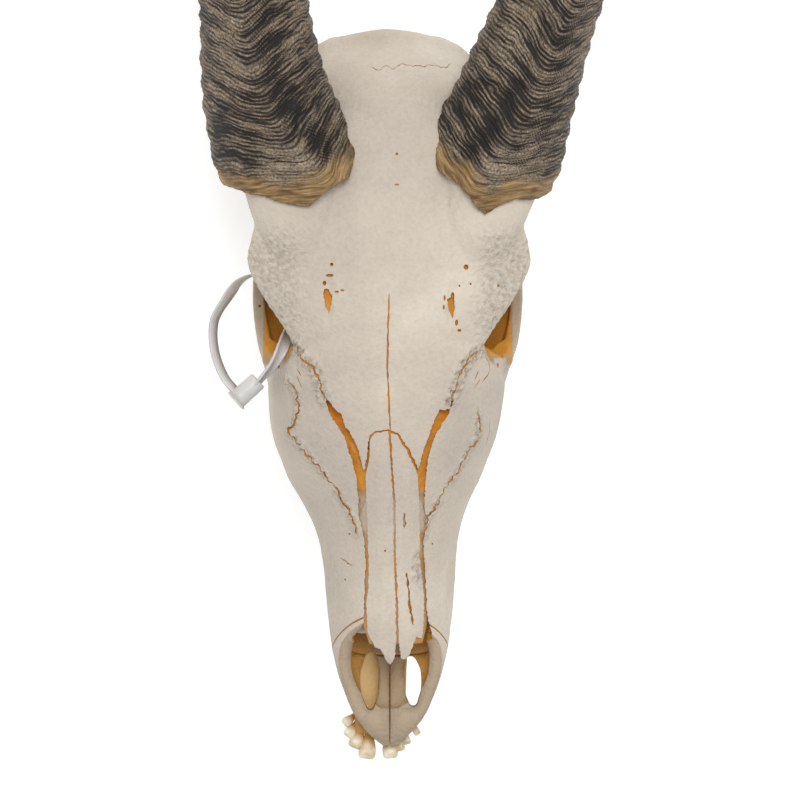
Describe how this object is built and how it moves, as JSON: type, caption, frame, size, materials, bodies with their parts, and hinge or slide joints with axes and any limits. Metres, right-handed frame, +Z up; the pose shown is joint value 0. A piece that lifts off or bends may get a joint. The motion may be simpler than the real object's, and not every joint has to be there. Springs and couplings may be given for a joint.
{
  "type": "bongo skull",
  "caption": "Skull of a spiral-horned forest antelope with its lower jaw, horns in their sheaths and a plastic strap tag on one cheek arch, lying as it rests.",
  "frame": {"origin": "on the floor, under the centre of the whole object's bounding box", "axes": "+Z up as it rests; +Y from the nose to the horn tips, the longest way; +X to the animal's left"},
  "size_m": [0.4048, 1.0736, 0.226],
  "materials": {
    "cranium": "dry pale bone, chalky where porous",
    "nasal_left": "dry pale bone",
    "nasal_right": "dry pale bone",
    "premaxilla_left": "dry pale bone",
    "premaxilla_right": "dry pale bone",
    "mandible_left": "dry bone with enamel teeth",
    "mandible_right": "dry bone with enamel teeth",
    "horn_left": "ringed dark keratin, ochre at the base",
    "horn_right": "ringed dark keratin, ochre at the base",
    "tie_strap": "satin white nylon, finely ribbed",
    "tie_lock": "satin white nylon"
  },
  "bodies": {
    "root": {"cranium": "cranium", "nasal_left": "nasal_left", "nasal_right": "nasal_right", "premaxilla_left": "premaxilla_left", "premaxilla_right": "premaxilla_right", "mandible_left": "mandible_left", "mandible_right": "mandible_right", "horn_left": "horn_left", "horn_right": "horn_right", "tie_strap": "tie_strap", "tie_lock": "tie_lock"}
  },
  "joints": []
}
